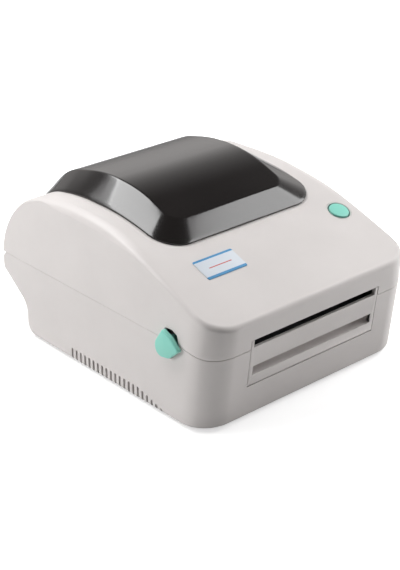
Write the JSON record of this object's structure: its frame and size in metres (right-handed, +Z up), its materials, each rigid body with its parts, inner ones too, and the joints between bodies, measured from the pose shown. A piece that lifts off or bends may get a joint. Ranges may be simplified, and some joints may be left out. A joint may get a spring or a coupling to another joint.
{
  "type": "thermal label printer",
  "caption": "Desktop thermal label printer with a hinged lid, a raised smoked window, side release levers, a feed button and a front label slot.",
  "frame": {"origin": "on the table, under the middle of the printer's outer box", "axes": "+X to the printer's right, +Y to its rear, +Z up"},
  "size_m": [0.1844, 0.212, 0.1183],
  "materials": {
    "case_plastic": "fine satin grain",
    "smoked_plastic": "glossy smoked",
    "mint_plastic": "satin",
    "ring_plastic": "satin",
    "board": "solder mask",
    "label_film": "printed film, no writing",
    "base_plastic": "moulded",
    "foot_rubber": "matt",
    "tray_plastic": "fine grain",
    "bright_steel": "plated",
    "black_plastic": "moulded",
    "gear_plastic": "natural acetal",
    "roller_rubber": "ground",
    "pinion_brass": "turned",
    "motor_steel": "black end caps",
    "sheet_steel": "zinc plated",
    "head_aluminium": "milled",
    "head_ceramic": "glazed"
  },
  "bodies": {
    "base": {"lower_case": "case_plastic", "front_panel": "case_plastic", "base_plate": "base_plastic", "rubber_feet": "foot_rubber", "label_tray": "tray_plastic", "sensor_rail": "bright_steel", "pinion_post": "bright_steel", "idler_pin": "bright_steel", "platen_bearings": "black_plastic", "stepper_motor": "motor_steel", "side_plate_left": "sheet_steel", "side_plate_right": "sheet_steel", "latch_spring": "bright_steel", "hinge_leaves_case": "sheet_steel", "hinge_pins": "bright_steel", "main_board": "board", "usb_socket": "bright_steel", "power_socket": "black_plastic", "power_switch": "black_plastic", "mechanism_screws": "bright_steel", "board_screws": "bright_steel", "base_screws": "bright_steel"},
    "cover": {"top_cover": "case_plastic", "smoked_window": "smoked_plastic", "button_ring": "ring_plastic", "button_board": "board", "name_plate": "label_film", "cover_frame": "sheet_steel", "strike_pins": "bright_steel", "head_pivot_pin": "bright_steel", "tear_bar": "sheet_steel", "hinge_leaves_cover": "sheet_steel", "cover_screws": "bright_steel", "head_springs": "bright_steel"},
    "head": {"head_plate": "head_aluminium", "print_head": "head_ceramic"},
    "button": {"feed_button": "mint_plastic"},
    "platen": {"platen_roller": "roller_rubber", "platen_shaft": "bright_steel", "platen_gear": "gear_plastic"},
    "idler": {"idler_gear": "gear_plastic"},
    "pinion": {"motor_pinion": "pinion_brass"},
    "latch": {"latch_shaft": "bright_steel", "latch_hook_left": "sheet_steel", "latch_hook_right": "sheet_steel", "release_lever_left": "mint_plastic", "release_lever_right": "mint_plastic"},
    "guide_left": {"label_guide_left": "tray_plastic"},
    "guide_right": {"label_guide_right": "tray_plastic"},
    "guide_wheel": {"guide_pinion": "gear_plastic"},
    "sensor": {"sensor_carriage": "black_plastic"},
    "rocker": {"power_rocker": "black_plastic"}
  },
  "joints": [
    {"name": "cover_hinge", "type": "hinge", "parent": "base", "child": "cover", "pos_m": [0, 0.10295, 0.0542], "axis": [-1, 0, 0], "range_deg": [0, 80]},
    {"name": "head_pivot", "type": "hinge", "parent": "cover", "child": "head", "pos_m": [0, -0.06225, 0.062], "axis": [-1, 0, 0], "range_deg": [0, 3], "stiffness_Nm_per_rad": 2, "springref_deg": -5.73, "deforming": ["head_springs"]},
    {"name": "button_press", "type": "slide", "parent": "cover", "child": "button", "axis": [0, 0.3453, -0.9385], "range_m": [0, 0.0008], "stiffness_N_per_m": 400, "springref_m": -0.0008},
    {"name": "latch_release", "type": "hinge", "parent": "base", "child": "latch", "pos_m": [0, -0.06825, 0.046], "axis": [1, 0, 0], "range_deg": [0, 18], "stiffness_Nm_per_rad": 0.25, "springref_deg": -5.73},
    {"name": "platen_spin", "type": "hinge", "parent": "base", "child": "platen", "pos_m": [0, -0.08525, 0.0455], "axis": [1, 0, 0], "continuous": true},
    {"name": "idler_spin", "type": "hinge", "parent": "base", "child": "idler", "pos_m": [0, -0.06686, 0.02712], "axis": [1, 0, 0], "continuous": true},
    {"name": "pinion_spin", "type": "hinge", "parent": "base", "child": "pinion", "pos_m": [0, -0.04738, 0.02262], "axis": [1, 0, 0], "continuous": true},
    {"name": "guide_left_slide", "type": "slide", "parent": "base", "child": "guide_left", "axis": [1, 0, 0], "range_m": [0, 0.025]},
    {"name": "guide_right_slide", "type": "slide", "parent": "base", "child": "guide_right", "axis": [-1, 0, 0], "range_m": [0, 0.025]},
    {"name": "guide_wheel_turn", "type": "hinge", "parent": "base", "child": "guide_wheel", "pos_m": [0, 0.022, 0.012], "axis": [0, 0, 1], "range_deg": [-287, 0]},
    {"name": "sensor_slide", "type": "slide", "parent": "base", "child": "sensor", "axis": [1, 0, 0], "range_m": [-0.04, 0.04]},
    {"name": "power_rock", "type": "hinge", "parent": "base", "child": "rocker", "pos_m": [-0.057, 0.0765, 0.0148], "axis": [-1, 0, 0], "range_deg": [0, 14]}
  ],
  "couplings": [
    {"joint": "idler_spin", "follows": "platen_spin", "ratio": -0.85714},
    {"joint": "pinion_spin", "follows": "platen_spin", "ratio": 2},
    {"joint": "guide_right_slide", "follows": "guide_left_slide", "ratio": 1},
    {"joint": "guide_wheel_turn", "follows": "guide_left_slide", "rad_per_m": -200}
  ]
}
